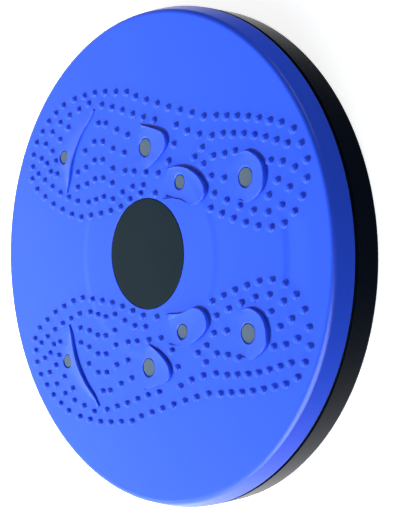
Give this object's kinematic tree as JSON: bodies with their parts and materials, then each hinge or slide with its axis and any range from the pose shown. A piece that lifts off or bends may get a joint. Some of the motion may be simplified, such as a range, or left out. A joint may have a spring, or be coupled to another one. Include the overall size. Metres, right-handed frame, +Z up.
{
  "type": "waist twisting disc",
  "caption": "Round standing disc: a plate with two nubbed footprints and magnet pads turns freely on a ring of balls above a flat base.",
  "frame": {"origin": "on the floor, under the axis that the plate turns about", "axes": "+Z up along the turning axis; +Y from the heels to the toes of the footprints; +X towards the right foot"},
  "size_m": [0.251, 0.251, 0.0304],
  "materials": {
    "blue_plastic": "smooth injection moulded ABS, satin gloss",
    "black_plastic": "injection moulded ABS, fine texture",
    "badge_plastic": "satin plastic disc, bare",
    "magnet": "ground ferrite, satin",
    "nylon": "natural nylon",
    "bearing_steel": "polished bearing steel, thin grease",
    "zinc_steel": "bright zinc plate",
    "bush_brass": "turned brass",
    "foot_rubber": "matt rubber"
  },
  "bodies": {
    "base": {"base_plate": "black_plastic", "pivot_bush": "bush_brass", "thrust_washer": "nylon", "rubber_foot_1": "foot_rubber", "rubber_foot_2": "foot_rubber", "rubber_foot_3": "foot_rubber", "rubber_foot_4": "foot_rubber", "rubber_foot_5": "foot_rubber", "rubber_foot_6": "foot_rubber"},
    "top": {"top_plate": "blue_plastic", "centre_badge": "badge_plastic", "magnet_right_toe": "magnet", "magnet_right_ball": "magnet", "magnet_right_arch": "magnet", "magnet_right_heel": "magnet", "magnet_left_toe": "magnet", "magnet_left_ball": "magnet", "magnet_left_arch": "magnet", "magnet_left_heel": "magnet", "pivot_bolt": "zinc_steel", "top_washer": "zinc_steel", "lower_washer": "zinc_steel", "lock_nut": "zinc_steel"},
    "cage": {"ball_cage": "nylon"},
    "ball_01": {"ball_01": "bearing_steel"},
    "ball_02": {"ball_02": "bearing_steel"},
    "ball_03": {"ball_03": "bearing_steel"},
    "ball_04": {"ball_04": "bearing_steel"},
    "ball_05": {"ball_05": "bearing_steel"},
    "ball_06": {"ball_06": "bearing_steel"},
    "ball_07": {"ball_07": "bearing_steel"},
    "ball_08": {"ball_08": "bearing_steel"},
    "ball_09": {"ball_09": "bearing_steel"},
    "ball_10": {"ball_10": "bearing_steel"},
    "ball_11": {"ball_11": "bearing_steel"},
    "ball_12": {"ball_12": "bearing_steel"},
    "ball_13": {"ball_13": "bearing_steel"},
    "ball_14": {"ball_14": "bearing_steel"},
    "ball_15": {"ball_15": "bearing_steel"},
    "ball_16": {"ball_16": "bearing_steel"},
    "ball_17": {"ball_17": "bearing_steel"},
    "ball_18": {"ball_18": "bearing_steel"},
    "ball_19": {"ball_19": "bearing_steel"},
    "ball_20": {"ball_20": "bearing_steel"},
    "ball_21": {"ball_21": "bearing_steel"},
    "ball_22": {"ball_22": "bearing_steel"},
    "ball_23": {"ball_23": "bearing_steel"},
    "ball_24": {"ball_24": "bearing_steel"}
  },
  "joints": [
    {"name": "top_spin", "type": "hinge", "parent": "base", "child": "top", "pos_m": [0, 0, 0.0181], "axis": [0, 0, 1], "continuous": true},
    {"name": "cage_spin", "type": "hinge", "parent": "base", "child": "cage", "pos_m": [0, 0, 0.0213], "axis": [0, 0, 1], "continuous": true},
    {"name": "ball_01_roll", "type": "hinge", "parent": "cage", "child": "ball_01", "pos_m": [0.09161, 0.01206, 0.0213], "axis": [0.9914, 0.1305, 0], "continuous": true},
    {"name": "ball_02_roll", "type": "hinge", "parent": "cage", "child": "ball_02", "pos_m": [0.08537, 0.03536, 0.0213], "axis": [0.9239, 0.3827, 0], "continuous": true},
    {"name": "ball_03_roll", "type": "hinge", "parent": "cage", "child": "ball_03", "pos_m": [0.07331, 0.05625, 0.0213], "axis": [0.7934, 0.6088, 0], "continuous": true},
    {"name": "ball_04_roll", "type": "hinge", "parent": "cage", "child": "ball_04", "pos_m": [0.05625, 0.07331, 0.0213], "axis": [0.6088, 0.7934, 0], "continuous": true},
    {"name": "ball_05_roll", "type": "hinge", "parent": "cage", "child": "ball_05", "pos_m": [0.03536, 0.08537, 0.0213], "axis": [0.3827, 0.9239, 0], "continuous": true},
    {"name": "ball_06_roll", "type": "hinge", "parent": "cage", "child": "ball_06", "pos_m": [0.01206, 0.09161, 0.0213], "axis": [0.1305, 0.9914, 0], "continuous": true},
    {"name": "ball_07_roll", "type": "hinge", "parent": "cage", "child": "ball_07", "pos_m": [-0.01206, 0.09161, 0.0213], "axis": [-0.1305, 0.9914, 0], "continuous": true},
    {"name": "ball_08_roll", "type": "hinge", "parent": "cage", "child": "ball_08", "pos_m": [-0.03536, 0.08537, 0.0213], "axis": [-0.3827, 0.9239, 0], "continuous": true},
    {"name": "ball_09_roll", "type": "hinge", "parent": "cage", "child": "ball_09", "pos_m": [-0.05625, 0.07331, 0.0213], "axis": [-0.6088, 0.7934, 0], "continuous": true},
    {"name": "ball_10_roll", "type": "hinge", "parent": "cage", "child": "ball_10", "pos_m": [-0.07331, 0.05625, 0.0213], "axis": [-0.7934, 0.6088, 0], "continuous": true},
    {"name": "ball_11_roll", "type": "hinge", "parent": "cage", "child": "ball_11", "pos_m": [-0.08537, 0.03536, 0.0213], "axis": [-0.9239, 0.3827, 0], "continuous": true},
    {"name": "ball_12_roll", "type": "hinge", "parent": "cage", "child": "ball_12", "pos_m": [-0.09161, 0.01206, 0.0213], "axis": [-0.9914, 0.1305, 0], "continuous": true},
    {"name": "ball_13_roll", "type": "hinge", "parent": "cage", "child": "ball_13", "pos_m": [-0.09161, -0.01206, 0.0213], "axis": [-0.9914, -0.1305, 0], "continuous": true},
    {"name": "ball_14_roll", "type": "hinge", "parent": "cage", "child": "ball_14", "pos_m": [-0.08537, -0.03536, 0.0213], "axis": [-0.9239, -0.3827, 0], "continuous": true},
    {"name": "ball_15_roll", "type": "hinge", "parent": "cage", "child": "ball_15", "pos_m": [-0.07331, -0.05625, 0.0213], "axis": [-0.7934, -0.6088, 0], "continuous": true},
    {"name": "ball_16_roll", "type": "hinge", "parent": "cage", "child": "ball_16", "pos_m": [-0.05625, -0.07331, 0.0213], "axis": [-0.6088, -0.7934, 0], "continuous": true},
    {"name": "ball_17_roll", "type": "hinge", "parent": "cage", "child": "ball_17", "pos_m": [-0.03536, -0.08537, 0.0213], "axis": [-0.3827, -0.9239, 0], "continuous": true},
    {"name": "ball_18_roll", "type": "hinge", "parent": "cage", "child": "ball_18", "pos_m": [-0.01206, -0.09161, 0.0213], "axis": [-0.1305, -0.9914, 0], "continuous": true},
    {"name": "ball_19_roll", "type": "hinge", "parent": "cage", "child": "ball_19", "pos_m": [0.01206, -0.09161, 0.0213], "axis": [0.1305, -0.9914, 0], "continuous": true},
    {"name": "ball_20_roll", "type": "hinge", "parent": "cage", "child": "ball_20", "pos_m": [0.03536, -0.08537, 0.0213], "axis": [0.3827, -0.9239, 0], "continuous": true},
    {"name": "ball_21_roll", "type": "hinge", "parent": "cage", "child": "ball_21", "pos_m": [0.05625, -0.07331, 0.0213], "axis": [0.6088, -0.7934, 0], "continuous": true},
    {"name": "ball_22_roll", "type": "hinge", "parent": "cage", "child": "ball_22", "pos_m": [0.07331, -0.05625, 0.0213], "axis": [0.7934, -0.6088, 0], "continuous": true},
    {"name": "ball_23_roll", "type": "hinge", "parent": "cage", "child": "ball_23", "pos_m": [0.08537, -0.03536, 0.0213], "axis": [0.9239, -0.3827, 0], "continuous": true},
    {"name": "ball_24_roll", "type": "hinge", "parent": "cage", "child": "ball_24", "pos_m": [0.09161, -0.01206, 0.0213], "axis": [0.9914, -0.1305, 0], "continuous": true}
  ],
  "couplings": [
    {"joint": "cage_spin", "follows": "top_spin", "ratio": 0.5},
    {"joint": "ball_01_roll", "follows": "top_spin", "ratio": -11.55},
    {"joint": "ball_02_roll", "follows": "top_spin", "ratio": -11.55},
    {"joint": "ball_03_roll", "follows": "top_spin", "ratio": -11.55},
    {"joint": "ball_04_roll", "follows": "top_spin", "ratio": -11.55},
    {"joint": "ball_05_roll", "follows": "top_spin", "ratio": -11.55},
    {"joint": "ball_06_roll", "follows": "top_spin", "ratio": -11.55},
    {"joint": "ball_07_roll", "follows": "top_spin", "ratio": -11.55},
    {"joint": "ball_08_roll", "follows": "top_spin", "ratio": -11.55},
    {"joint": "ball_09_roll", "follows": "top_spin", "ratio": -11.55},
    {"joint": "ball_10_roll", "follows": "top_spin", "ratio": -11.55},
    {"joint": "ball_11_roll", "follows": "top_spin", "ratio": -11.55},
    {"joint": "ball_12_roll", "follows": "top_spin", "ratio": -11.55},
    {"joint": "ball_13_roll", "follows": "top_spin", "ratio": -11.55},
    {"joint": "ball_14_roll", "follows": "top_spin", "ratio": -11.55},
    {"joint": "ball_15_roll", "follows": "top_spin", "ratio": -11.55},
    {"joint": "ball_16_roll", "follows": "top_spin", "ratio": -11.55},
    {"joint": "ball_17_roll", "follows": "top_spin", "ratio": -11.55},
    {"joint": "ball_18_roll", "follows": "top_spin", "ratio": -11.55},
    {"joint": "ball_19_roll", "follows": "top_spin", "ratio": -11.55},
    {"joint": "ball_20_roll", "follows": "top_spin", "ratio": -11.55},
    {"joint": "ball_21_roll", "follows": "top_spin", "ratio": -11.55},
    {"joint": "ball_22_roll", "follows": "top_spin", "ratio": -11.55},
    {"joint": "ball_23_roll", "follows": "top_spin", "ratio": -11.55},
    {"joint": "ball_24_roll", "follows": "top_spin", "ratio": -11.55}
  ]
}
